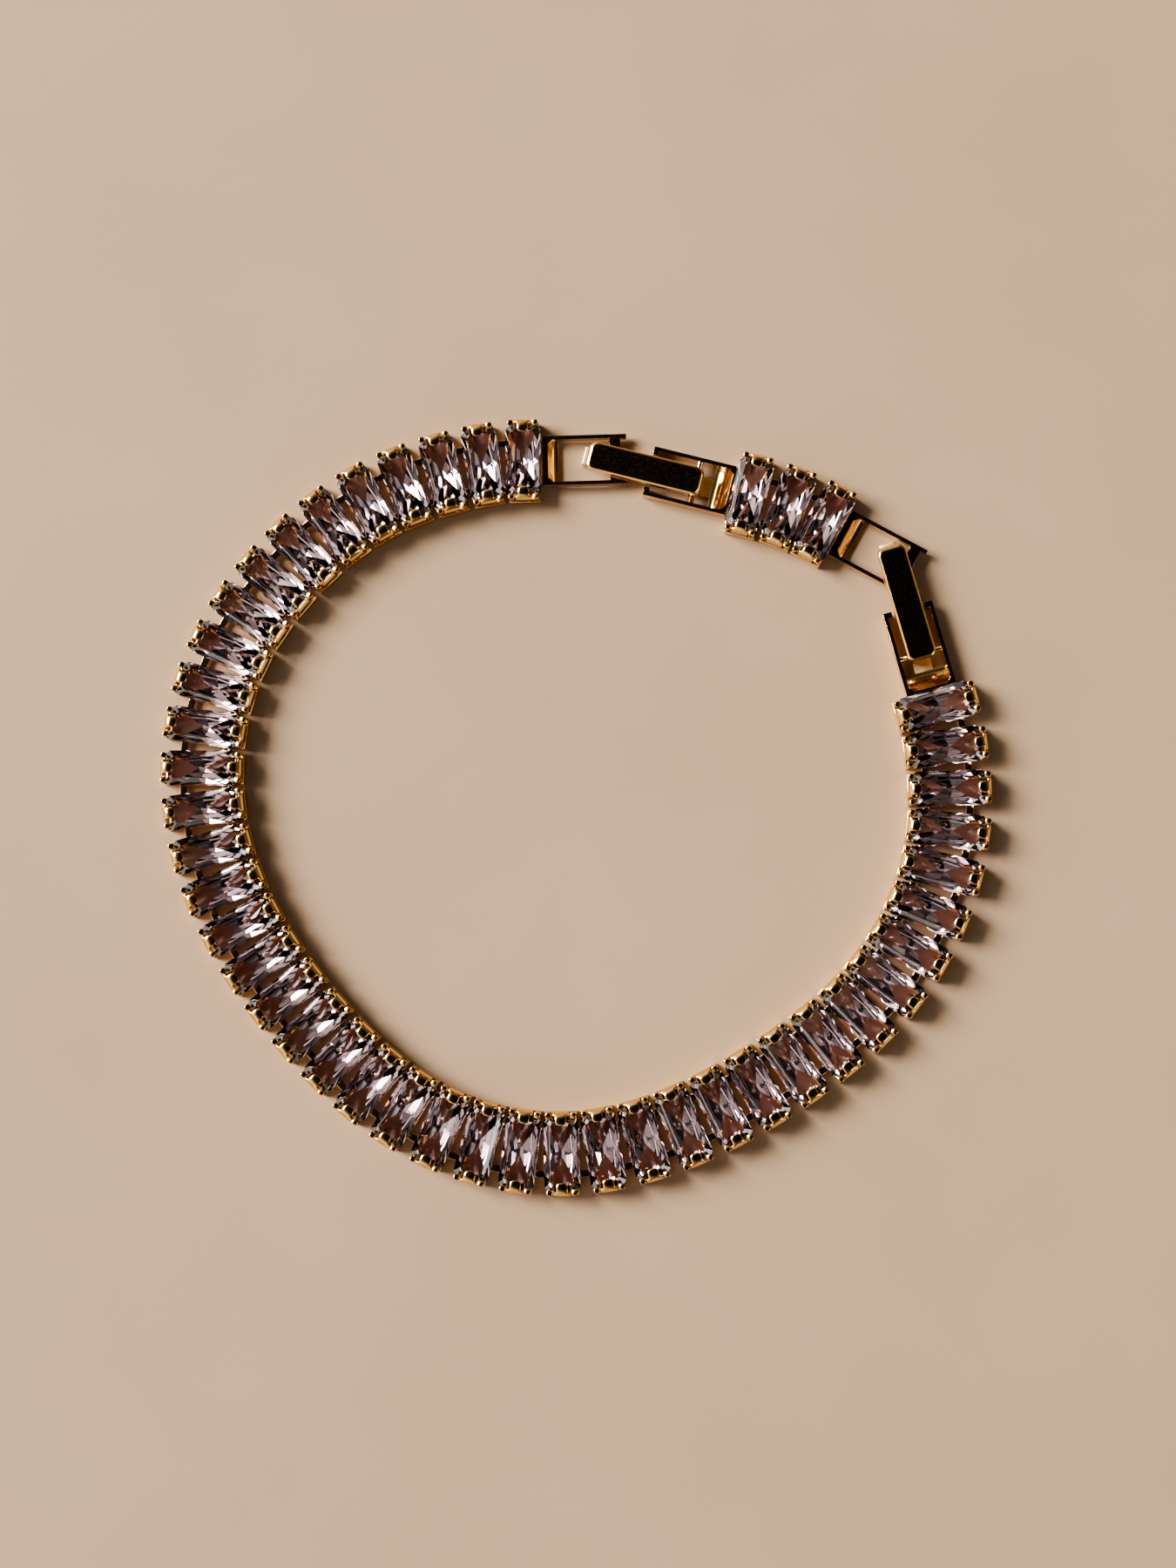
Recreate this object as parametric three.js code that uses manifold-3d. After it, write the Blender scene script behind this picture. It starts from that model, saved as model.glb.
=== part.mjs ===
// A tennis bracelet lying flat: a closed loop of rectangular cut stones in claw settings,
// with a three-stone extension between two fold-over clasps. Millimetres, +Z up, its
// underside on z = 0 and the middle of its bounding box on the Z axis.
//
// A link's own frame has x along the loop (counter-clockwise from above), y towards the
// inside of the loop and z up, with the middle of its stone on the z axis. A clasp frame's
// own frame has x away from the stone that it is soldered beside.

import * as THREE from "three";
import { ConvexGeometry } from "three/addons/geometries/ConvexGeometry.js";
import { mergeVertices } from "three/addons/utils/BufferGeometryUtils.js";
import Module from "manifold-3d";

const wasm = await Module();
wasm.setup();

// Driving dimensions

const STONE = {
  width: 2.88,
  length: 6,
  cornerCut: 0.5,
  keelHeight: 0.35, // from the surface that the bracelet lies on
  pavilionDepth: 1.24,
  girdleThickness: 0.12,
  crownHeight: 0.5,
  tableInset: 0.5, // from the girdle to the table's edge
  keelInset: 2.6, // from the stone's end to the keel's end
};

const FIT = {
  stone: 0.1, // between a stone and the metal that holds it
  neighbours: 0.115, // between two stones at the sharpest bend
  ring: 0.15, // round a ring link's bar where it passes through a rail
  bore: 0.14, // round a hinge pin
  stack: 0.15, // between the layers of a closed clasp
};

const CHAIN = {
  stones: 43,
  extensionStones: 3,
  sharpestBend: 8.6, // degrees between two neighbouring links
};

const RAIL = { tuck: 0.14, thickness: 0.4, height: 0.9 }; // tuck: inside the stone's side

const END_CLAW = { width: 1.32, thickness: 0.26, overlap: 0.72, tipThickness: 0.2 };
const CORNER_CLAW = { radius: 0.18, rise: 0.3, topShare: 0.7, sides: 4 };
const EMBED = 0.02; // between the faces of joined metal that would otherwise coincide

const RING = { spread: 3.5, width: 0.45, thickness: 0.3, height: 0.3, farBar: 0.28 };

const FRAME = { length: 6.96, width: 4.15, rail: 0.32, wall: 0.46, cornerCut: 0.4 };
const BAR_FRAME = { height: 0.8, crossbar: 0.9, tips: 0.5, ledge: 1 };
const HINGE_FRAME = { height: 1.5, nub: 0.4, nubLength: 0.45, ledge: 1.2, ledgeFoot: 0.3 };
const PIN = { radius: 0.26, setback: 3, height: 1.15, sides: 8 };
const TONGUE = { width: 1.5, thickness: 0.3, lip: 0.35, lipHeight: 1.2 };
const LEVER = {
  length: 9.6,
  width: 2.35,
  thickness: 0.75,
  tail: 0.45, // behind the pin
  knuckle: 0.58,
  noseRound: 0.35,
};

// Where a clasp's two frames cross: inside the crossbar, and short of the lever's nose.
const CROSSING = { insideCrossbar: 0.7, shortOfNose: 1.1 };

// The loop's route through the crossings and the links, from the upper clasp round
// counter-clockwise. It is scaled to the length that the links and clasps add up to.
const LOOP_ROUTE = [
  { x: 1.9, y: 28.9 },
  { x: -15.6, y: 26.2 },
  { x: -27.2, y: 15.9 },
  { x: -30.9, y: 3.1 },
  { x: -27.0, y: -10.3 },
  { x: -15.4, y: -23.4 },
  { x: -2.7, y: -27.9 },
  { x: 10.7, y: -24.7 },
  { x: 24.6, y: -14.5 },
  { x: 30.2, y: -0.6 },
  { x: 26.8, y: 17.9 },
  { x: 21.3, y: 23.1 },
];

// Sizes that follow from them

const girdleBottom = STONE.keelHeight + STONE.pavilionDepth;
const girdleTop = girdleBottom + STONE.girdleThickness;
const tableHeight = girdleTop + STONE.crownHeight;
const halfWidth = STONE.width / 2;
const halfLength = STONE.length / 2;
const chainStones = Math.round(CHAIN.stones);
const extensionStones = Math.round(CHAIN.extensionStones);

// Two neighbours' inner corners keep FIT.neighbours apart where the loop bends most.
const halfBend = THREE.MathUtils.degToRad(CHAIN.sharpestBend / 2);
const bendRoom = 2 * (halfLength - STONE.cornerCut) * Math.sin(halfBend);
const pitch = STONE.width + FIT.neighbours + bendRoom;

const railOuter = halfWidth - RAIL.tuck;
const railMiddle = railOuter - RAIL.thickness / 2;
const railInner = railOuter - RAIL.thickness;
const settingEnd = halfLength + FIT.stone + END_CLAW.thickness;
const cornerClawX = railOuter - CORNER_CLAW.radius - EMBED;

const frameStart = halfWidth + FIT.stone;
const frameTip = frameStart + FRAME.length;
const frameHalf = FRAME.width / 2;
const openingHalf = frameHalf - FRAME.rail;
const openingStart = frameStart + FRAME.wall;

const barFrameFoot = TONGUE.thickness + FIT.stack;
const barFrameTop = barFrameFoot + BAR_FRAME.height;
const crossbarOuter = frameTip - BAR_FRAME.tips;
const crossbarInner = crossbarOuter - BAR_FRAME.crossbar;
const leverFoot = barFrameTop + FIT.stack;
const leverTop = leverFoot + LEVER.thickness;
const pinPlace = frameStart + PIN.setback;
const leverNose = pinPlace - LEVER.tail + LEVER.length;
const tongueEnd = leverNose + TONGUE.lip;

const barSide = crossbarInner - CROSSING.insideCrossbar;
const hingeSide = leverNose - CROSSING.shortOfNose;

// Materials

const gold = new THREE.MeshStandardMaterial({
  color: 0xd9a65a,
  roughness: 0.14,
  metalness: 1,
  flatShading: true,
});
const pinkStone = new THREE.MeshStandardMaterial({
  color: 0xe3c4c8,
  roughness: 0.03,
  metalness: 0,
  flatShading: true,
});

// Geometry helpers

// Three.js geometry as a manifold-3d solid, with shared corners merged.
function solidOf(geometry) {
  const bare = geometry.clone();
  bare.deleteAttribute("normal");
  bare.deleteAttribute("uv");
  const merged = mergeVertices(bare, 1e-4);
  const corners = [...merged.index.array];
  const kept = [];
  for (let i = 0; i < corners.length; i += 3) {
    const [a, b, c] = corners.slice(i, i + 3);
    if (a !== b && b !== c && c !== a) kept.push(a, b, c);
  }
  const vertProperties = new Float32Array(merged.attributes.position.array);
  return new wasm.Manifold(new wasm.Mesh({ numProp: 3, vertProperties, triVerts: new Uint32Array(kept) }));
}

function joined(geometries) {
  return geometries.map(solidOf).reduce((sum, solid) => sum.add(solid));
}

function geometryOf(solid) {
  const mesh = solid.getMesh();
  const geometry = new THREE.BufferGeometry();
  geometry.setAttribute("position", new THREE.BufferAttribute(mesh.vertProperties, 3));
  geometry.setIndex(new THREE.BufferAttribute(mesh.triVerts, 1));
  return geometry;
}

function outline(points) {
  return new THREE.Shape(points.map(([x, y]) => new THREE.Vector2(x, y)));
}

// A plan outline raised from one height to another.
function slab(shape, foot, top) {
  const geometry = new THREE.ExtrudeGeometry(shape, { depth: top - foot, bevelEnabled: false });
  return geometry.translate(0, 0, foot);
}

// A block between two corners given as [x, y, z].
function block(low, high) {
  const size = high.map((value, i) => value - low[i]);
  const middle = high.map((value, i) => (value + low[i]) / 2);
  return new THREE.BoxGeometry(...size).translate(...middle);
}

// A side outline in (x, z), made thick across y.
function acrossY(shape, thickness) {
  const settings = { depth: thickness, bevelEnabled: false, curveSegments: 6 };
  const geometry = new THREE.ExtrudeGeometry(shape, settings);
  geometry.translate(0, 0, -thickness / 2);
  const turn = new THREE.Matrix4().makeBasis(
    new THREE.Vector3(1, 0, 0),
    new THREE.Vector3(0, 0, 1),
    new THREE.Vector3(0, -1, 0),
  );
  return geometry.applyMatrix4(turn);
}

// A side outline in (y, z), made thick across x.
function acrossX(shape, thickness) {
  return acrossY(shape, thickness).rotateZ(Math.PI / 2);
}

// The matrix of a frame that stands at a place, turned about z.
function placed(x, y, angle) {
  return new THREE.Matrix4().makeTranslation(x, y, 0).multiply(new THREE.Matrix4().makeRotationZ(angle));
}

// A stone: table, crown, girdle and a keeled pavilion, all with cut corners

function cutRectangle(inset, height) {
  const x = halfWidth - inset;
  const y = halfLength - inset;
  const cut = STONE.cornerCut * (1 - inset / halfWidth);
  const quarter = [
    [x, y - cut],
    [x - cut, y],
  ];
  return [
    [1, 1],
    [-1, 1],
    [-1, -1],
    [1, -1],
  ].flatMap(([sx, sy]) => quarter.map(([px, py]) => new THREE.Vector3(sx * px, sy * py, height)));
}

function stoneGeometry() {
  const keelEnd = halfLength - STONE.keelInset;
  const corners = [
    ...cutRectangle(STONE.tableInset, tableHeight),
    ...cutRectangle(0, girdleTop),
    ...cutRectangle(0, girdleBottom),
    new THREE.Vector3(0, keelEnd, STONE.keelHeight),
    new THREE.Vector3(0, -keelEnd, STONE.keelHeight),
  ];
  return new ConvexGeometry(corners);
}

// A setting: a base of four rails, with a broad claw and two corner claws at each end

function settingBase(ringHoles) {
  const plan = outline([
    [-railOuter, -settingEnd],
    [railOuter, -settingEnd],
    [railOuter, settingEnd],
    [-railOuter, settingEnd],
  ]);
  const openingEnd = settingEnd - 2 * RAIL.thickness;
  const opening = [
    [-railInner, -openingEnd],
    [-railInner, openingEnd],
    [railInner, openingEnd],
    [railInner, -openingEnd],
  ];
  plan.holes.push(new THREE.Path(opening.map(([x, y]) => new THREE.Vector2(x, y))));
  let base = solidOf(slab(plan, 0, RAIL.height));
  if (ringHoles) {
    for (const side of [-1, 1]) {
      const middle = (side * RING.spread) / 2;
      const reach = RING.width / 2 + FIT.ring;
      const low = [-railOuter - FIT.ring, middle - reach, RING.height - FIT.stone];
      const high = [-railInner + FIT.ring, middle + reach, RING.height + RING.thickness + FIT.stone];
      base = base.subtract(solidOf(block(low, high)));
    }
  }
  return base;
}

// The claw's inner side keeps FIT.stone off the girdle, the crown and the table.
function endClawOutline() {
  const slope = Math.atan2(STONE.crownHeight, STONE.tableInset);
  const wall = halfLength + FIT.stone;
  const bendLow = girdleTop + FIT.stone * Math.tan((Math.PI / 2 - slope) / 2);
  const bendHigh = halfLength - STONE.tableInset + FIT.stone * Math.tan(slope / 2);
  const tip = halfLength - END_CLAW.overlap;
  const under = tableHeight + FIT.stone;
  const top = under + END_CLAW.tipThickness;
  const outer = settingEnd - EMBED;
  return outline([
    [wall, RAIL.height - EMBED],
    [outer, RAIL.height - EMBED],
    [outer, (girdleTop + tableHeight) / 2],
    [halfLength - END_CLAW.thickness / 2, top],
    [tip, top],
    [tip, under],
    [bendHigh, under],
    [wall, bendLow],
  ]);
}

function cornerClaw() {
  const { radius, rise, topShare, sides } = CORNER_CLAW;
  const cutLine = halfWidth + halfLength - STONE.cornerCut;
  const clear = (radius * Math.cos(Math.PI / sides) + FIT.stone) * Math.SQRT2;
  const y = cutLine + clear - cornerClawX;
  const foot = RAIL.height - EMBED;
  const profile = [
    [0, foot],
    [radius, foot],
    [radius * topShare, girdleTop + rise],
    [0, girdleTop + rise],
  ].map(([r, h]) => new THREE.Vector2(r, h));
  return new THREE.LatheGeometry(profile, sides).rotateX(Math.PI / 2).translate(cornerClawX, y, 0);
}

function settingSolid(ringHoles = false) {
  const corner = cornerClaw();
  const mirrored = corner.clone().translate(-2 * cornerClawX, 0, 0);
  const end = [acrossX(endClawOutline(), END_CLAW.width), corner, mirrored];
  const otherEnd = end.map((geometry) => geometry.clone().rotateZ(Math.PI));
  return settingBase(ringHoles).add(joined([...end, ...otherEnd]));
}

// A flat bar of a ring link, between two points of two links

function ringBar(from, to, width) {
  const run = to.clone().sub(from);
  const middle = from.clone().add(to).multiplyScalar(0.5);
  const bar = new THREE.BoxGeometry(run.length(), width, RING.thickness);
  return bar
    .translate(0, 0, RING.height + RING.thickness / 2)
    .applyMatrix4(placed(middle.x, middle.y, Math.atan2(run.y, run.x)));
}

// The two bars of the ring between two links, and where it is only linked, its far bar
function ringLink(first, second, linked) {
  const reach = linked ? railInner - FIT.stone - RING.farBar / 2 : railMiddle;
  const side = (sign) => {
    const y = (sign * RING.spread) / 2;
    const from = new THREE.Vector3(railMiddle, y, 0).applyMatrix4(first);
    const to = new THREE.Vector3(-reach, y, 0).applyMatrix4(second);
    return ringBar(from, to, RING.width);
  };
  const bars = [side(-1), side(1)];
  if (linked) {
    const end = (RING.spread + RING.width) / 2;
    const from = new THREE.Vector3(-reach, -end, 0).applyMatrix4(second);
    const to = new THREE.Vector3(-reach, end, 0).applyMatrix4(second);
    bars.push(ringBar(from, to, RING.farBar));
  }
  return joined(bars);
}

// The two frames of a clasp, each soldered to the side rail of its neighbour setting

function solderBlock(foot) {
  return block([railMiddle, -frameHalf, foot], [frameStart + FRAME.wall / 2, frameHalf, RAIL.height]);
}

// A sloped ledge inside the frame's closed end
function ledge(length, foot, top) {
  const wedge = outline([
    [openingStart - FRAME.wall / 2, foot],
    [openingStart + length, foot],
    [openingStart, top],
    [openingStart - FRAME.wall / 2, top],
  ]);
  return acrossY(wedge, 2 * openingHalf + FRAME.rail);
}

function barFrameSolid() {
  const plan = outline([
    [frameStart, -frameHalf],
    [frameTip, -frameHalf],
    [frameTip, -openingHalf],
    [crossbarOuter, -openingHalf],
    [crossbarOuter, openingHalf],
    [frameTip, openingHalf],
    [frameTip, frameHalf],
    [frameStart, frameHalf],
  ]);
  const cut = FRAME.cornerCut;
  const opening = [
    [openingStart + cut, -openingHalf],
    [openingStart, -openingHalf + cut],
    [openingStart, openingHalf - cut],
    [openingStart + cut, openingHalf],
    [crossbarInner, openingHalf],
    [crossbarInner, -openingHalf],
  ];
  plan.holes.push(new THREE.Path(opening.map(([x, y]) => new THREE.Vector2(x, y))));
  return joined([
    slab(plan, barFrameFoot, barFrameTop),
    solderBlock(barFrameFoot),
    ledge(BAR_FRAME.ledge, barFrameFoot, barFrameTop),
  ]);
}

function hingeFrameSolid() {
  const cut = FRAME.cornerCut;
  const nubHalf = openingHalf - HINGE_FRAME.nub;
  const nubStart = frameTip - HINGE_FRAME.nubLength;
  const lower = [
    [frameTip, -frameHalf],
    [frameTip, -nubHalf],
    [nubStart, -nubHalf],
    [nubStart, -openingHalf],
    [openingStart + cut, -openingHalf],
    [openingStart, -openingHalf + cut],
  ];
  const upper = lower.map(([x, y]) => [x, -y]).reverse();
  const plan = outline([[frameStart, -frameHalf], ...lower, ...upper, [frameStart, frameHalf]]);
  const pin = new THREE.CylinderGeometry(PIN.radius, PIN.radius, FRAME.width - FRAME.rail, PIN.sides);
  const tongue = outline([
    [frameStart + FRAME.wall / 2, 0],
    [tongueEnd, 0],
    [tongueEnd, TONGUE.lipHeight],
    [tongueEnd - TONGUE.lip, TONGUE.lipHeight],
    [tongueEnd - TONGUE.lip, TONGUE.thickness],
    [frameStart + FRAME.wall / 2, TONGUE.thickness],
  ]);
  return joined([
    slab(plan, 0, HINGE_FRAME.height),
    solderBlock(0),
    ledge(HINGE_FRAME.ledge, HINGE_FRAME.ledgeFoot, HINGE_FRAME.height - FIT.stack),
    pin.translate(pinPlace, 0, PIN.height),
    acrossY(tongue, TONGUE.width),
  ]);
}

// The lever: a plate over the clasp, with a knuckle bored for the pin

function leverGeometry() {
  const tail = pinPlace - LEVER.tail;
  const knuckleFoot = pinPlace + LEVER.knuckle;
  const round = LEVER.noseRound;
  const side = new THREE.Shape();
  side.moveTo(tail, PIN.height);
  side.absarc(pinPlace, PIN.height, LEVER.knuckle, Math.PI, 2 * Math.PI, false);
  side.lineTo(knuckleFoot, leverFoot);
  side.lineTo(leverNose, leverFoot);
  side.lineTo(leverNose, leverTop - round);
  side.absarc(leverNose - round, leverTop - round, round, 0, Math.PI / 2, false);
  side.lineTo(tail + round / 2, leverTop);
  side.lineTo(pinPlace - LEVER.knuckle, leverTop - round);
  const bore = new THREE.Path();
  bore.absarc(pinPlace, PIN.height, PIN.radius + FIT.bore, 0, 2 * Math.PI, true);
  side.holes.push(bore);
  return geometryOf(solidOf(acrossY(side, LEVER.width)));
}

// The loop: rigid pieces laid end to end along the route

const ROUTE_STEPS = 1200;

function loopPieces() {
  const pieces = [];
  for (let i = 1; i <= chainStones; i++) {
    const before = i === 1 ? barSide : pitch / 2;
    const after = i === chainStones ? hingeSide : pitch / 2;
    pieces.push({ name: `stone_${String(i).padStart(2, "0")}`, before, after, part: "chain" });
  }
  for (let i = extensionStones; i >= 1; i--) {
    const before = i === extensionStones ? barSide : pitch / 2;
    const after = i === 1 ? hingeSide : pitch / 2;
    pieces.push({ name: `extension_stone_${i}`, before, after, part: "extension" });
  }
  return pieces;
}

function layAlongRoute(pieces) {
  const points = LOOP_ROUTE.map(({ x, y }) => new THREE.Vector3(x, y, 0));
  const route = new THREE.CatmullRomCurve3(points, true, "catmullrom", 0.5);
  route.arcLengthDivisions = ROUTE_STEPS;
  const total = pieces.reduce((sum, piece) => sum + piece.before + piece.after, 0);
  const scale = total / route.getLength();
  let along = 0;
  for (const piece of pieces) {
    const start = route.getPointAt(along / total).multiplyScalar(scale);
    along += piece.before + piece.after;
    const end = route.getPointAt((along / total) % 1).multiplyScalar(scale);
    const run = end.sub(start);
    const stone = start.add(run.clone().setLength(piece.before));
    piece.x = stone.x;
    piece.y = stone.y;
    piece.heading = Math.atan2(run.y, run.x);
    piece.matrix = placed(piece.x, piece.y, piece.heading);
  }
  return pieces;
}

// One soldered run of settings and ring links, with the clasp frames at its ends

function metalRun(links, { barFrame = false, hingeFrame = false, linkedFrom = false, linkTo = null }) {
  const solids = links.map((link, i) => settingSolid(linkedFrom && i === 0).transform(link.matrix.elements));
  for (let i = 0; i + 1 < links.length; i++) {
    solids.push(ringLink(links[i].matrix, links[i + 1].matrix, false));
  }
  if (linkTo) solids.push(ringLink(links.at(-1).matrix, linkTo.matrix, true));
  if (barFrame) {
    const turned = links[0].matrix.clone().multiply(new THREE.Matrix4().makeRotationZ(Math.PI));
    solids.push(barFrameSolid().transform(turned.elements));
  }
  if (hingeFrame) solids.push(hingeFrameSolid().transform(links.at(-1).matrix.elements));
  return geometryOf(solids.reduce((sum, solid) => sum.add(solid)));
}

function addMesh(group, name, geometry, material) {
  const mesh = new THREE.Mesh(geometry, material.clone());
  mesh.name = name;
  group.add(mesh);
  return mesh;
}

function buildBracelet() {
  const pieces = layAlongRoute(loopPieces());
  const chain = pieces.filter((piece) => piece.part === "chain");
  const extension = pieces.filter((piece) => piece.part === "extension");
  const middle = Math.ceil(chain.length / 2);
  const firstHalf = chain.slice(0, middle);
  const secondHalf = chain.slice(middle);
  const bracelet = new THREE.Group();

  const firstRun = metalRun(firstHalf, { barFrame: true, linkTo: secondHalf[0] });
  addMesh(bracelet, "chain_metal_a", firstRun, gold);
  const secondRun = metalRun(secondHalf, { hingeFrame: true, linkedFrom: true });
  addMesh(bracelet, "chain_metal_b", secondRun, gold);
  const extensionRun = metalRun(extension, { barFrame: true, hingeFrame: true });
  addMesh(bracelet, "extension_metal", extensionRun, gold);

  const stone = stoneGeometry();
  for (const piece of pieces) {
    const mesh = addMesh(bracelet, piece.name, stone, pinkStone);
    mesh.position.set(piece.x, piece.y, 0);
    mesh.rotation.z = piece.heading;
  }

  const lever = leverGeometry();
  const hinged = [
    { name: "clasp_lever_1", link: extension.at(-1) },
    { name: "clasp_lever_2", link: chain.at(-1) },
  ];
  for (const { name, link } of hinged) {
    const mesh = addMesh(bracelet, name, lever, gold);
    mesh.position.set(link.x, link.y, 0);
    mesh.rotation.z = link.heading;
  }
  return bracelet;
}

const bracelet = buildBracelet();
const middle = new THREE.Box3().setFromObject(bracelet, true).getCenter(new THREE.Vector3());
bracelet.position.set(-middle.x, -middle.y, 0);

const part = new THREE.Group();
part.add(bracelet);
export default part;
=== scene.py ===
import math

import bmesh
import bpy
from mathutils import Matrix, Vector


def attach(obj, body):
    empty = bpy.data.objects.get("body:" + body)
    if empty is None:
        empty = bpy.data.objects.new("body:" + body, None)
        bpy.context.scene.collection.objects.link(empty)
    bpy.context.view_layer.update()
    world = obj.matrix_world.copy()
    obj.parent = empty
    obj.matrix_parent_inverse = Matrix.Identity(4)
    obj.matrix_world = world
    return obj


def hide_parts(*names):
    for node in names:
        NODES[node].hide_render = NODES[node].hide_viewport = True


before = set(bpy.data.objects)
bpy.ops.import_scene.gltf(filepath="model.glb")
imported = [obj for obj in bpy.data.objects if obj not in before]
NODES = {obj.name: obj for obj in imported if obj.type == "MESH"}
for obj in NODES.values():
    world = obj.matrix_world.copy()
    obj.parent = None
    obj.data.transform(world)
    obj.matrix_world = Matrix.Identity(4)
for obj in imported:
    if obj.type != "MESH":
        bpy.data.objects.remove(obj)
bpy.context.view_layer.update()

MM = 0.001

# Every shape below is drawn in millimetres in a link's own frame, as the frame's solids
# are: x along the loop, y towards its inside, z up, and the stone's middle over the origin.

# Sizes, millimetres unless they say otherwise

STONE = {"half_width": 1.44, "half_length": 3.0, "corner_cut": 0.34, "table_inset": 0.54}
STONE_HEIGHTS = {"girdle_low": 1.59, "girdle_high": 1.71, "table": 2.21}
ROCK = 0.6  # degrees
RAIL = {"outer": 1.3, "inner": 0.9, "height": 0.9, "end": 3.35, "end_width": 0.78}
CORNER_CLAW_PLACE = (1.15, 3.205)
RING = {"spread": 3.5, "width": 0.60, "low": 0.3, "high": 0.6, "far": 0.62, "far_width": 0.28}
BAR_EDGE = 0.04

# Both frames of a clasp lie along x from the stone that they are soldered to.
FRAME = {"start": 1.54, "tip": 8.5, "half": 2.075, "rail": 0.32, "corner_cut": 0.4}
SOLDER = {"start": 1.1, "stop": 1.75}
BAR_FRAME = {
    "low": 0.45,
    "high": 1.25,
    "wall": 0.46,
    "crossbar_start": 7.1,
    "crossbar_stop": 8.0,
    "ledge": 0.8,
    "ledge_top": 1.21,
}
HINGE_FRAME = {
    "low": 0.0,
    "high": 1.5,
    "wall": 0.14,
    "nub": 0.4,
    "nub_length": 0.45,
    "ledge": 1.5,
    "ledge_foot": 0.3,
    "ledge_top": 1.42,
}
LEDGE = {"lip": 0.06, "bend": 2.2, "steps": 8, "into_wall": 0.1, "into_rail": 0.05}
TONGUE = {
    "start": 1.9,
    "stop": 14.04,
    "low": 0.01,
    "high": 0.3,
    "half": 0.75,
    "lip": 0.35,
    "lip_top": 1.2,
}
PIN = {"place": 4.54, "height": 1.15, "radius": 0.26, "bore_radius": 0.37}
LEVER = {"tail": 4.09, "nose": 13.69, "half": 1.175, "corner": 0.55}
KNUCKLE = {
    "radius": 0.58,
    "corner": 0.6,
    "front_top": 1.6,
    "shoulder": 0.3,
    "shoulder_top": 1.95,
    "back_top": 1.8,
}


# Places

def link_matrix(node):
    """The frame of a stone's link: its keel gives the middle and the long axis."""
    corners = [v.co.copy() for v in NODES[node].data.vertices]
    low = min(c.z for c in corners)
    keel = [c for c in corners if c.z < low + 0.01 * MM]
    first = keel[0]
    last = max(keel, key=lambda c: (c - first).length)
    middle = (first + last) / 2
    inward = (last - first).normalized()
    if inward.dot(middle) > 0:
        inward = -inward
    heading = math.atan2(-inward.x, inward.y)
    return Matrix.Translation((middle.x, middle.y, 0)) @ Matrix.Rotation(heading, 4, "Z")


CHAIN = [f"stone_{i:02d}" for i in range(1, 44)]
EXTENSION = [f"extension_stone_{i}" for i in (3, 2, 1)]
LINKS = {name: link_matrix(name) for name in CHAIN + EXTENSION}
MIDDLE = (len(CHAIN) + 1) // 2
RUNS = {
    "chain_metal_a": CHAIN[:MIDDLE],
    "chain_metal_b": CHAIN[MIDDLE:],
    "extension_metal": EXTENSION,
}
TURNED = Matrix.Rotation(math.pi, 4, "Z")


# Meshes

class Shape:
    """Corners and faces in millimetres, gathered before they become one mesh."""

    def __init__(self):
        self.corners = []
        self.faces = []

    def ring(self, points):
        start = len(self.corners)
        self.corners += [Vector(p) for p in points]
        return list(range(start, start + len(points)))

    def loft(self, rings):
        """Closed rings joined one to the next, with both ends capped."""
        rows = [self.ring(r) for r in rings]
        for a, b in zip(rows, rows[1:]):
            count = len(a)
            for i in range(count):
                j = (i + 1) % count
                self.faces.append((a[i], a[j], b[j], b[i]))
        self.faces.append(tuple(reversed(rows[0])))
        self.faces.append(tuple(rows[-1]))

    def add(self, other, matrix=Matrix.Identity(4)):
        start = len(self.corners)
        self.corners += [matrix @ c for c in other.corners]
        self.faces += [tuple(start + i for i in f) for f in other.faces]

    def mirrored(self):
        """The same shape at the link's other end."""
        turned = Shape()
        turned.add(self, TURNED)
        return turned

    def mesh(self, name, smooth=True):
        data = bpy.data.meshes.new(name)
        data.from_pydata([c * MM for c in self.corners], [], self.faces)
        tidy = bmesh.new()
        tidy.from_mesh(data)
        bmesh.ops.recalc_face_normals(tidy, faces=tidy.faces)
        tidy.to_mesh(data)
        tidy.free()
        for polygon in data.polygons:
            polygon.use_smooth = smooth
        return data


def place_mm(matrix):
    """A frame matrix in metres as one that moves shapes in millimetres."""
    scaled = matrix.copy()
    scaled.translation = matrix.translation / MM
    return scaled


def rounded_ring(middle, across, up, width, height, corner=0.05, steps=2):
    """A closed ring of points on a rectangle with rounded corners."""
    corner = min(corner, width * 0.45, height * 0.45)
    points = []
    for quarter, (sx, sy) in enumerate(((1, 1), (-1, 1), (-1, -1), (1, -1))):
        for i in range(steps + 1):
            angle = (quarter + i / steps) * math.pi / 2
            x = sx * (width / 2 - corner) + corner * math.cos(angle)
            y = sy * (height / 2 - corner) + corner * math.sin(angle)
            points.append(middle + across * x + up * y)
    return points


def object_of(data, name, material, body, nodes):
    """A mesh as a piece that rides on a body and stands for CAD nodes."""
    if material is not PINK:
        data = flat_faced(data)
    piece = bpy.data.objects.new(name, data)
    bpy.context.scene.collection.objects.link(piece)
    data.materials.clear()
    data.materials.append(material)
    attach(piece, body)
    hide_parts(*nodes)


def finished(data, modifiers):
    """The mesh after modifiers, given as (type, settings), as a mesh of its own."""
    holder = bpy.data.objects.new("holder", data)
    bpy.context.scene.collection.objects.link(holder)
    for kind, settings in modifiers:
        modifier = holder.modifiers.new(kind, kind)
        for key, value in settings.items():
            setattr(modifier, key, value)
    depsgraph = bpy.context.evaluated_depsgraph_get()
    made = bpy.data.meshes.new_from_object(holder.evaluated_get(depsgraph))
    bpy.data.objects.remove(holder)
    return made


def bevelled(data, width, segments=2, angle=30):
    """The mesh with its edges sharper than the angle rounded."""
    made = finished(data, [("BEVEL", {
        "width": width * MM,
        "segments": segments,
        "limit_method": "ANGLE",
        "angle_limit": math.radians(angle),
    })])
    for polygon in made.polygons:
        polygon.use_smooth = True
    return made


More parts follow.
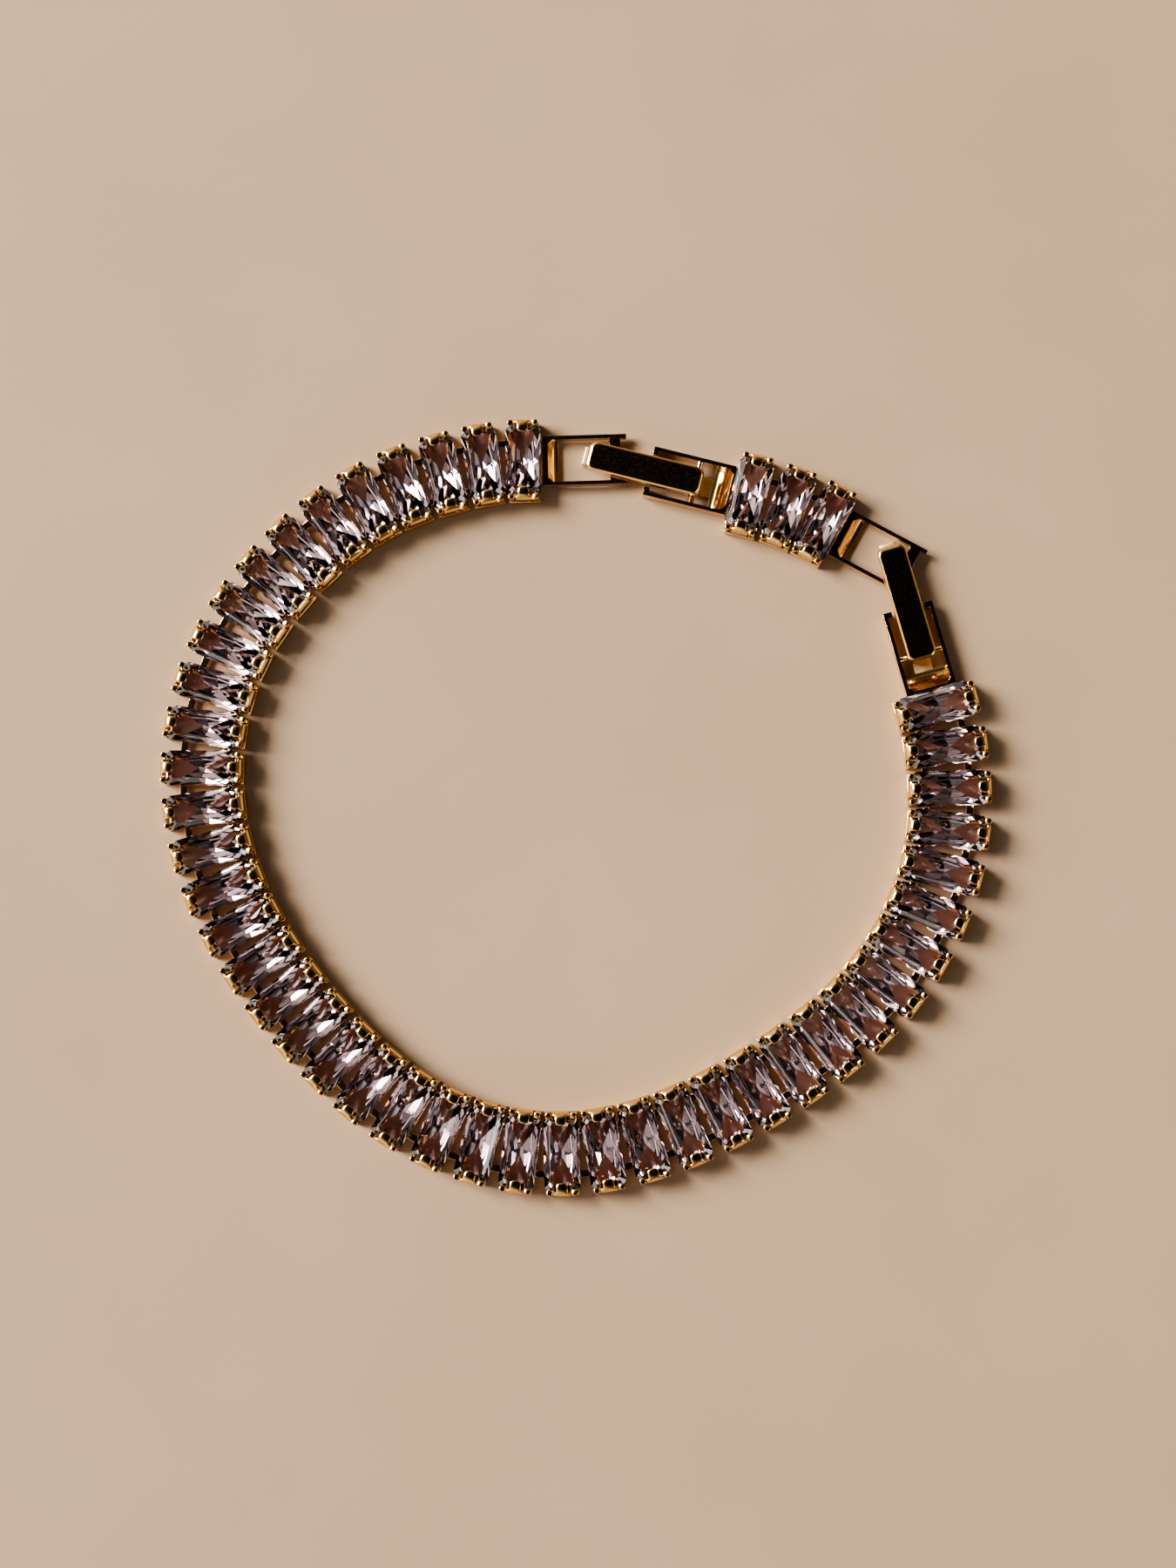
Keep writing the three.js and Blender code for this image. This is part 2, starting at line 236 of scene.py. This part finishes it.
def flat_faced(data):
    """Smooth over the small edge faces, with the large faces left flat."""
    return finished(data, [("WEIGHTED_NORMAL", {"weight": 80})])


def combined(first, second, operation):
    """Two meshes joined, cut or intersected."""
    other = bpy.data.objects.new("other", second)
    bpy.context.scene.collection.objects.link(other)
    settings = {"object": other, "operation": operation, "solver": "EXACT"}
    made = finished(first, [("BOOLEAN", settings)])
    bpy.data.objects.remove(other)
    return made


def prism(name, outline, low, high, upright=False):
    """An outline made thick: upwards from (x, y), or across y from (x, z) where upright."""
    shape = Shape()
    rings = []
    for level in (low, high):
        if upright:
            rings.append([Vector((x, level, z)) for x, z in outline])
        else:
            rings.append([Vector((x, y, level)) for x, y in outline])
    shape.loft(rings)
    return shape.mesh(name, smooth=False)


def arc(middle, radius, start, end, steps):
    """Points round a middle, from one angle to another in degrees."""
    points = []
    for i in range(steps + 1):
        angle = math.radians(start + (end - start) * i / steps)
        across, up = radius * math.cos(angle), radius * math.sin(angle)
        points.append((middle[0] + across, middle[1] + up))
    return points


# Materials

def new_material(name):
    material = bpy.data.materials.new(name)
    material.use_nodes = True
    tree = material.node_tree
    return material, tree, tree.nodes["Principled BSDF"]


def noise(tree, scale, detail=4.0, roughness=0.6):
    """Noise over the piece's own coordinates, with its scale in features per metre."""
    place = tree.nodes.new("ShaderNodeTexCoord")
    texture = tree.nodes.new("ShaderNodeTexNoise")
    texture.inputs["Scale"].default_value = scale
    texture.inputs["Detail"].default_value = detail
    texture.inputs["Roughness"].default_value = roughness
    tree.links.new(place.outputs["Object"], texture.inputs["Vector"])
    return texture


def ramp(tree, source, stops):
    """A value turned into colours, with a stop at each (position, colour)."""
    node = tree.nodes.new("ShaderNodeValToRGB")
    elements = node.color_ramp.elements
    while len(elements) < len(stops):
        elements.new(0.5)
    for element, (position, colour) in zip(elements, stops):
        element.position = position
        element.color = colour
    tree.links.new(source, node.inputs["Fac"])
    return node.outputs["Color"]


def gold_material():
    """Polished yellow plate: soft clouds in its colour, fine scratches in its gloss."""
    material, tree, shader = new_material("polished_gold")
    shader.inputs["Metallic"].default_value = 1.0
    clouds = noise(tree, scale=900.0)
    colour = ramp(tree, clouds.outputs["Fac"], [
        (0.3, (0.82, 0.50, 0.17, 1)),
        (0.7, (0.93, 0.65, 0.28, 1)),
    ])
    tree.links.new(colour, shader.inputs["Base Color"])
    wear = noise(tree, scale=5200.0, detail=6.0)
    gloss = ramp(tree, wear.outputs["Fac"], [
        (0.35, (0.05, 0.05, 0.05, 1)),
        (0.75, (0.19, 0.19, 0.19, 1)),
    ])
    tree.links.new(gloss, shader.inputs["Roughness"])
    scratches = noise(tree, scale=3600.0, detail=8.0, roughness=0.7)
    bump = tree.nodes.new("ShaderNodeBump")
    bump.inputs["Strength"].default_value = 0.05
    bump.inputs["Distance"].default_value = 0.02 * MM
    tree.links.new(scratches.outputs["Fac"], bump.inputs["Height"])
    tree.links.new(bump.outputs["Normal"], shader.inputs["Normal"])
    return material


def satin_material():
    """The same plate left unpolished, with a fine grain in its colour and gloss."""
    material, tree, shader = new_material("satin_gold")
    shader.inputs["Metallic"].default_value = 1.0
    grain = noise(tree, scale=2600.0, detail=6.0)
    colour = ramp(tree, grain.outputs["Fac"], [
        (0.3, (0.78, 0.55, 0.30, 1)),
        (0.7, (0.90, 0.70, 0.42, 1)),
    ])
    tree.links.new(colour, shader.inputs["Base Color"])
    gloss = ramp(tree, grain.outputs["Fac"], [
        (0.3, (0.42, 0.42, 0.42, 1)),
        (0.8, (0.60, 0.60, 0.60, 1)),
    ])
    tree.links.new(gloss, shader.inputs["Roughness"])
    return material


def stone_material():
    """Clear pale pink stone, a little deeper in places, with faint smears on its polish."""
    material, tree, shader = new_material("pale_pink_stone")
    shader.inputs["Transmission Weight"].default_value = 1.0
    shader.inputs["IOR"].default_value = 2.15
    clouds = noise(tree, scale=420.0, detail=3.0)
    colour = ramp(tree, clouds.outputs["Fac"], [
        (0.3, (0.92, 0.67, 0.75, 1)),
        (0.7, (0.99, 0.81, 0.87, 1)),
    ])
    tree.links.new(colour, shader.inputs["Base Color"])
    smears = noise(tree, scale=1500.0, detail=5.0)
    gloss = ramp(tree, smears.outputs["Fac"], [
        (0.45, (0.0, 0.0, 0.0, 1)),
        (0.8, (0.06, 0.06, 0.06, 1)),
    ])
    tree.links.new(gloss, shader.inputs["Roughness"])
    return material


def floor_material():
    """A plain pale floor with very soft clouds."""
    material, tree, shader = new_material("pale_floor")
    clouds = noise(tree, scale=30.0, detail=3.0)
    colour = ramp(tree, clouds.outputs["Fac"], [
        (0.3, (0.272, 0.193, 0.127, 1)),
        (0.7, (0.292, 0.210, 0.140, 1)),
    ])
    tree.links.new(colour, shader.inputs["Base Color"])
    shader.inputs["Roughness"].default_value = 0.75
    return material


GOLD = gold_material()
SATIN = satin_material()
PINK = stone_material()


# Stones

def cut_outline(inset, height):
    """The stone's outline with its corners cut, drawn in by an inset."""
    x = STONE["half_width"] - inset
    y = STONE["half_length"] - inset
    cut = STONE["corner_cut"] * (1 - inset / STONE["half_width"])
    points = [(x, y - cut), (x - cut, y), (cut - x, y), (-x, y - cut)]
    points += [(-x, cut - y), (cut - x, -y), (x - cut, -y), (x, cut - y)]
    return [Vector((px, py, height)) for px, py in points]


# Where the pavilion's ribs meet, for the quarter with x and y over 0
PAVILION = (
    # x, y, height
    (0.0, 0.3, 0.35),
    (0.80, 0.0, 0.90),
    (0.0, 1.50, 0.80),
    (0.50, 2.20, 1.13),
    (0.0, 2.60, 1.34),
)


def stone_mesh():
    """A rectangular brilliant: table, crown and girdle over a pavilion of crossing ribs."""
    points = cut_outline(STONE["table_inset"], STONE_HEIGHTS["table"])
    points += cut_outline(0, STONE_HEIGHTS["girdle_high"])
    points += cut_outline(0, STONE_HEIGHTS["girdle_low"])
    for x, y, height in PAVILION:
        for sx in (1, -1):
            for sy in (1, -1):
                points.append(Vector((sx * x, sy * y, height)))
    hull = bmesh.new()
    for point in points:
        hull.verts.new(point * MM)
    bmesh.ops.remove_doubles(hull, verts=hull.verts, dist=0.005 * MM)
    made = bmesh.ops.convex_hull(hull, input=hull.verts)
    inside = made["geom_interior"] + made["geom_unused"]
    loose = {e for e in inside if isinstance(e, bmesh.types.BMVert)}
    bmesh.ops.delete(hull, geom=list(loose), context="VERTS")
    flat = math.radians(0.5)
    bmesh.ops.dissolve_limit(hull, angle_limit=flat, verts=hull.verts, edges=hull.edges)
    data = bpy.data.meshes.new("cut_stone")
    hull.to_mesh(data)
    hull.free()
    return data


def seated(index):
    """The slight rock of a stone in its claws, different for each."""
    middle = Matrix.Translation((0, 0, STONE_HEIGHTS["girdle_low"] * MM))
    along = math.radians(ROCK * math.sin(index * 2.4 + 0.7))
    across = math.radians(2 * ROCK * math.sin(index * 1.7 + 2.1))
    rock = Matrix.Rotation(along, 4, "X") @ Matrix.Rotation(across, 4, "Y")
    return middle @ rock @ middle.inverted()


def make_stones():
    data = stone_mesh()
    for index, (name, matrix) in enumerate(LINKS.items()):
        own = data.copy()
        own.transform(matrix @ seated(index))
        object_of(own, "cut_" + name, PINK, "root", [name])


# Settings

BROAD_CLAW = (
    # y, z, width, thickness, dome across its top
    (3.225, 1.40, 1.32, 0.25, 0.0),
    (3.225, 1.93, 1.32, 0.25, 0.0),
    (3.200, 2.03, 1.32, 0.25, 0.0),
    (3.080, 2.21, 1.32, 0.24, 0.0),
    (3.060, 2.24, 1.28, 0.22, 0.0),
    (3.035, 2.29, 0.94, 0.20, 0.02),
    (2.990, 2.35, 0.92, 0.19, 0.04),
    (2.920, 2.390, 0.92, 0.19, 0.05),
    (2.660, 2.398, 0.92, 0.19, 0.05),
    (2.500, 2.396, 0.90, 0.18, 0.05),
    (2.400, 2.390, 0.78, 0.17, 0.036),
    (2.330, 2.380, 0.56, 0.15, 0.02),
    (2.295, 2.370, 0.34, 0.12, 0.012),
)
CORNER_CLAW = (
    # inward shift, z, thickness
    (0.00, 0.85, 0.24),
    (0.00, 1.68, 0.24),
    (0.01, 1.80, 0.30),
    (0.07, 1.95, 0.42),
    (0.14, 2.08, 0.50),
    (0.15, 2.165, 0.50),
    (0.155, 2.205, 0.47),
    (0.157, 2.225, 0.41),
)


def domed_ring(middle, across, up, width, height, corner, dome):
    """A rounded ring whose upper side is curved, and lower at its two ends by the dome."""
    points = rounded_ring(middle, across, up, width, height, corner)
    right, left = points[2], points[3]  # the ends of the upper side
    points[3:3] = [right.lerp(left, i / 6) for i in range(1, 6)]
    for i, point in enumerate(points):
        offset = point - middle
        if offset.dot(up) > 0:
            points[i] = point - up * dome * (2 * offset.dot(across) / width) ** 2
    return points


def swept(rows, place, corner):
    """A claw along rows, each turned by place(row) into a middle, width, thickness and dome."""
    middles = [place(row)[0] for row in rows]
    rings = []
    for i, row in enumerate(rows):
        middle, width, thickness, dome = place(row)
        before = middles[max(i - 1, 0)]
        after = middles[min(i + 1, len(rows) - 1)]
        along = (after - before).normalized()
        across = Vector((1, 0, 0)) - along * along.x
        across.normalize()
        up = along.cross(across)
        rings.append(domed_ring(middle, across, up, width, thickness, corner, dome))
    shape = Shape()
    shape.loft(rings)
    return shape


def base_frame():
    """The four rails under the stone, with rounded edges."""
    signs = ((-1, -1), (1, -1), (1, 1), (-1, 1))
    outer = [(x * RAIL["outer"], y * RAIL["end"]) for x, y in signs]
    inner_end = RAIL["end"] - RAIL["end_width"]
    inner = [(x * RAIL["inner"], y * inner_end) for x, y in signs]
    shape = Shape()
    rows = {}
    for key, points in (("outer", outer), ("inner", inner)):
        for level, z in (("low", 0.0), ("high", RAIL["height"])):
            rows[key, level] = shape.ring([(x, y, z) for x, y in points])
    for i in range(4):
        j = (i + 1) % 4
        for first, second in (
            (("outer", "low"), ("outer", "high")),
            (("outer", "high"), ("inner", "high")),
            (("inner", "high"), ("inner", "low")),
            (("inner", "low"), ("outer", "low")),
        ):
            a, b = rows[first], rows[second]
            shape.faces.append((a[i], a[j], b[j], b[i]))
    return shape_from(bevelled(shape.mesh("base", smooth=False), width=0.07, segments=3))


def shape_from(data):
    """A mesh in metres as a shape in millimetres."""
    shape = Shape()
    shape.corners = [v.co / MM for v in data.vertices]
    shape.faces = [tuple(p.vertices) for p in data.polygons]
    return shape


def setting():
    """A stone's setting: its rails, and at each end a broad claw between two corner claws."""
    end = swept(BROAD_CLAW, lambda row: (Vector((0, row[0], row[1])), *row[2:]), corner=0.05)
    for side in (1, -1):
        def place(row, side=side):
            shift, z, thickness = row
            x = side * (CORNER_CLAW_PLACE[0] - shift)
            return Vector((x, CORNER_CLAW_PLACE[1] - shift, z)), thickness, thickness, 0.0
        end.add(swept(CORNER_CLAW, place, corner=0.15))
    whole = base_frame()
    whole.add(end)
    whole.add(end.mirrored())
    return whole


def bar(start, stop, width, low, high):
    """A flat bar with rounded edges between two points of the floor plan."""
    run = (stop - start).normalized()
    across = Vector((-run.y, run.x, 0))
    up = Vector((0, 0, 1))
    lift = Vector((0, 0, (low + high) / 2))
    shape = Shape()
    height = high - low
    shape.loft([
        rounded_ring(start + lift, across, up, width - 2 * BAR_EDGE, height - 2 * BAR_EDGE),
        rounded_ring(start + run * BAR_EDGE + lift, across, up, width, height),
        rounded_ring(stop - run * BAR_EDGE + lift, across, up, width, height),
        rounded_ring(stop + lift, across, up, width - 2 * BAR_EDGE, height - 2 * BAR_EDGE),
    ])
    return shape


def ring_link(first, second):
    """The flat rectangular ring that joins two settings."""
    shape = Shape()
    half = RING["spread"] / 2
    levels = (RING["low"], RING["high"])
    for side in (1, -1):
        start = first @ Vector((RING["far"], side * half, 0))
        stop = second @ Vector((-RING["far"], side * half, 0))
        shape.add(bar(start, stop, RING["width"], *levels))
    reach = half + RING["width"] / 2
    for matrix, x in ((first, RING["far"]), (second, -RING["far"])):
        start = matrix @ Vector((x, -reach, 0))
        stop = matrix @ Vector((x, reach, 0))
        shape.add(bar(start, stop, RING["far_width"], *levels))
    return shape


def make_settings():
    template = setting()
    for node, names in RUNS.items():
        settings = Shape()
        for name in names:
            settings.add(template, place_mm(LINKS[name]))
        rings = Shape()
        following = names[1:]
        if node == "chain_metal_a":
            following = following + RUNS["chain_metal_b"][:1]
        for first, second in zip(names, following):
            rings.add(ring_link(place_mm(LINKS[first]), place_mm(LINKS[second])))
        for name, shape in ((node + "_settings", settings), (node + "_ring_links", rings)):
            object_of(shape.mesh(name), name, GOLD, "root", [node])


# Clasps

def ledge(wall, length, foot, top):
    """The hollowed slope inside a frame's closed end, from its wall inwards."""
    start = FRAME["start"] + wall
    inside = start - LEDGE["into_wall"]
    outline = [(inside, foot), (start + length, foot)]
    rise = top - foot - LEDGE["lip"]
    for i in range(LEDGE["steps"] + 1):
        t = i / LEDGE["steps"]
        outline.append((start + length * (1 - t), foot + LEDGE["lip"] + rise * t ** LEDGE["bend"]))
    outline.append((inside, top))
    half = FRAME["half"] - FRAME["rail"] + LEDGE["into_rail"]
    return prism("ledge", outline, -half, half, upright=True)


def frame_mesh(outline, hole, low, high, extras):
    """A flat outline made thick, with a hole cut out and other pieces soldered on."""
    plan = prism("plan", outline, low, high)
    if hole:
        plan = combined(plan, prism("hole", hole, low - 1, high + 1), "DIFFERENCE")
    for extra in extras:
        plan = combined(plan, extra, "UNION")
    return bevelled(plan, width=0.06)


def solder(low):
    """The block that joins a frame to its stone's setting."""
    start, stop, half = SOLDER["start"], SOLDER["stop"], FRAME["half"]
    corners = [(start, -half), (stop, -half), (stop, half), (start, half)]
    return prism("solder", corners, low, RAIL["height"])


def closed_end(wall):
    """The corners of the opening at its closed end, cut off."""
    start, cut = FRAME["start"] + wall, FRAME["corner_cut"]
    half = FRAME["half"] - FRAME["rail"]
    return [(start + cut, -half), (start, cut - half), (start, half - cut), (start + cut, half)]


def bar_frame():
    """The frame that hooks between tongue and lever: two rails, a wall and a crossbar."""
    size = BAR_FRAME
    start, tip, outer = FRAME["start"], FRAME["tip"], FRAME["half"]
    inner = outer - FRAME["rail"]
    outline = [(start, -outer), (tip, -outer), (tip, -inner), (size["crossbar_stop"], -inner)]
    outline += [(size["crossbar_stop"], inner), (tip, inner), (tip, outer), (start, outer)]
    hole = closed_end(size["wall"])
    hole += [(size["crossbar_start"], inner), (size["crossbar_start"], -inner)]
    extras = [
        solder(size["low"]),
        ledge(size["wall"], size["ledge"], size["low"], size["ledge_top"]),
    ]
    return frame_mesh(outline, hole, size["low"], size["high"], extras)


def hinge_frame():
    """The frame that carries the lever: two rails with nubs at their tips, and a pin."""
    size = HINGE_FRAME
    start, tip, outer = FRAME["start"], FRAME["tip"], FRAME["half"]
    inner = outer - FRAME["rail"]
    nub, nub_start = inner - size["nub"], tip - size["nub_length"]
    lower = [(tip, -outer), (tip, -nub), (nub_start, -nub), (nub_start, -inner)]
    lower += closed_end(size["wall"])[:2]
    upper = [(x, -y) for x, y in reversed(lower)]
    outline = [(start, -outer)] + lower + upper + [(start, outer)]
    pin = arc((PIN["place"], PIN["height"]), PIN["radius"], 0, 342, 19)
    reach = outer - FRAME["rail"] / 2
    extras = [
        solder(size["low"]),
        ledge(size["wall"], size["ledge"], size["ledge_foot"], size["ledge_top"]),
        prism("pin", pin, -reach, reach, upright=True),
    ]
    return frame_mesh(outline, None, size["low"], size["high"], extras)


def tongue():
    """The strip under the lever, turned up at its free end."""
    size = TONGUE
    lip = size["stop"] - size["lip"]
    outline = [(size["start"], size["low"]), (size["stop"], size["low"])]
    outline += [(size["stop"], size["lip_top"]), (lip, size["lip_top"])]
    outline += [(lip, size["high"]), (size["start"], size["high"])]
    strip = prism("tongue", outline, -size["half"], size["half"], upright=True)
    return bevelled(strip, width=0.05)


LEVER_RIM = (
    # z, inset at the sides and tail, inset at the nose
    (1.40, 0.05, 0.05),
    (1.45, 0.00, 0.00),
    (1.78, 0.00, 0.00),
    (1.90, 0.00, 0.02),
    (2.00, 0.00, 0.07),
    (2.05, 0.03, 0.13),
    (2.10, 0.08, 0.21),
    (2.135, 0.14, 0.31),
    (2.15, 0.21, 0.42),
)


def lever_plan(start, stop, half, corner, steps=7):
    """A rectangle with rounded corners along x, as points in the plane z = 0."""
    middle = Vector(((start + stop) / 2, 0, 0))
    across, up = Vector((1, 0, 0)), Vector((0, 1, 0))
    return rounded_ring(middle, across, up, stop - start, 2 * half, corner, steps)


def lever_mesh():
    """The lever: a plate with a rounded rim, over a knuckle bored for its pin."""
    tail, nose, half = LEVER["tail"], LEVER["nose"], LEVER["half"]
    plate = Shape()
    rings = []
    for z, side, front in LEVER_RIM:
        plan = lever_plan(tail + side, nose - front, half - side, LEVER["corner"] - side)
        rings.append([p + Vector((0, 0, z)) for p in plan])
    plate.loft(rings)
    middle, radius = (PIN["place"], PIN["height"]), KNUCKLE["radius"]
    side = arc(middle, radius, 180, 360, 20)
    side.append((PIN["place"] + radius, KNUCKLE["front_top"]))
    side.append((PIN["place"] - KNUCKLE["shoulder"], KNUCKLE["shoulder_top"]))
    side.append((PIN["place"] - radius, KNUCKLE["back_top"]))
    knuckle = prism("knuckle", side, -half, half, upright=True)
    plan = lever_plan(PIN["place"] - radius, nose, half, KNUCKLE["corner"])
    within = prism("plan", [(p.x, p.y) for p in plan], 0, 3)
    knuckle = combined(knuckle, within, "INTERSECT")
    body = combined(plate.mesh("plate", smooth=False), knuckle, "UNION")
    bore = arc(middle, PIN["bore_radius"], 0, 345, 23)
    body = combined(body, prism("bore", bore, -2, 2, upright=True), "DIFFERENCE")
    return bevelled(body, width=0.04, angle=40)


def make_clasps():
    bar_data, hinge_data = bar_frame(), hinge_frame()
    lever_data, tongue_data = lever_mesh(), tongue()
    clasps = (
        # number, bar frame's stone and node, hinge frame's stone and node
        (1, CHAIN[0], "chain_metal_a", EXTENSION[-1], "extension_metal"),
        (2, EXTENSION[0], "extension_metal", CHAIN[-1], "chain_metal_b"),
    )
    for number, bar_stone, bar_node, hinge_stone, hinge_node in clasps:
        bar_place, hinge_place = LINKS[bar_stone] @ TURNED, LINKS[hinge_stone]
        lever_node = f"clasp_lever_{number}"
        pieces = (
            # name, mesh, place, material, body, node
            ("bar_frame", bar_data, bar_place, GOLD, "root", bar_node),
            ("hinge_frame", hinge_data, hinge_place, GOLD, "root", hinge_node),
            ("hinge_tongue", tongue_data, hinge_place, SATIN, "root", hinge_node),
            ("lever", lever_data, hinge_place, GOLD, f"lever_{number}", lever_node),
        )
        for name, data, place, material, body, node in pieces:
            own = data.copy()
            own.transform(place)
            object_of(own, f"{name}_{number}", material, body, [node])


# Stage, metres

CAMERA = {"place": (0.010, -0.015, 0.200), "aim": (0.0012, 0.00155, 0.0015), "roll": 0.12}
LENS = {"focal": 56.19, "sensor_height": 36.0}
FLOOR_SIZE = 12.0
LIGHTS = (
    # name, place, size, power, colour
    ("key", (-2.16, 0.84, 1.80), (1.44, 1.44), 324.0, (1.0, 0.92, 0.82)),
    ("fill", (2.40, -1.44, 0.96), (1.80, 0.96), 18.0, (0.94, 0.96, 1.0)),
)
# The window's light is full up to one x of the view's direction, and gone by the other.
ROOM = {"window_end": -0.65, "far_end": 0.15, "strength": 1.85}


def area_light(name, place, size, power, colour):
    """A softbox aimed at the bracelet's middle."""
    data = bpy.data.lights.new(name, "AREA")
    data.shape = "RECTANGLE"
    data.size, data.size_y = size
    data.energy = power
    data.color = colour
    light = bpy.data.objects.new(name, data)
    bpy.context.scene.collection.objects.link(light)
    light.location = place
    light.rotation_euler = (-Vector(place)).to_track_quat("-Z", "Y").to_euler()


def make_stage():
    bpy.ops.mesh.primitive_grid_add(x_subdivisions=8, y_subdivisions=8, size=FLOOR_SIZE)
    floor = bpy.context.object
    floor.name = "floor"
    floor.data.materials.append(floor_material())
    for light in LIGHTS:
        area_light(*light)
    studio()


def studio():
    """A soft room: dark overhead, bright low down, and brightest on the window's side."""
    world = bpy.data.worlds.new("studio")
    world.use_nodes = True
    tree = world.node_tree
    place = tree.nodes.new("ShaderNodeTexCoord")
    split = tree.nodes.new("ShaderNodeSeparateXYZ")
    tree.links.new(place.outputs["Generated"], split.inputs["Vector"])
    height = ramp(tree, split.outputs["Z"], [
        (0.10, (0.90, 0.82, 0.73, 1)),
        (0.68, (0.62, 0.59, 0.56, 1)),
        (0.95, (0.010, 0.011, 0.013, 1)),
    ])
    across = tree.nodes.new("ShaderNodeMapRange")
    across.inputs["From Min"].default_value = ROOM["window_end"]
    across.inputs["From Max"].default_value = ROOM["far_end"]
    tree.links.new(split.outputs["X"], across.inputs["Value"])
    window = ramp(tree, across.outputs["Result"], [
        (0.0, (1.0, 0.96, 0.92, 1)),
        (1.0, (0.09, 0.08, 0.075, 1)),
    ])
    both = tree.nodes.new("ShaderNodeVectorMath")
    both.operation = "MULTIPLY"
    tree.links.new(height, both.inputs[0])
    tree.links.new(window, both.inputs[1])
    background = tree.nodes["Background"]
    background.inputs["Strength"].default_value = ROOM["strength"]
    tree.links.new(both.outputs["Vector"], background.inputs["Color"])
    bpy.context.scene.world = world
    bpy.context.scene.view_settings.look = "AgX - Medium High Contrast"


def make_camera():
    """The photo's angle: almost straight down, with +Y up in the picture."""
    data = bpy.data.cameras.new("camera")
    data.sensor_fit = "VERTICAL"
    data.sensor_height = LENS["sensor_height"]
    data.lens = LENS["focal"]
    data.clip_start = 0.01
    camera = bpy.data.objects.new("camera", data)
    bpy.context.scene.collection.objects.link(camera)
    camera.location = CAMERA["place"]
    forward = (Vector(CAMERA["aim"]) - Vector(CAMERA["place"])).normalized()
    right = forward.cross(Vector((0, 1, 0))).normalized()
    turn = Matrix((right, right.cross(forward), -forward)).transposed()
    roll = Matrix.Rotation(math.radians(CAMERA["roll"]), 3, "Z")
    camera.rotation_euler = (turn @ roll).to_euler()
    bpy.context.scene.camera = camera


make_stones()
make_settings()
make_clasps()
make_stage()
make_camera()
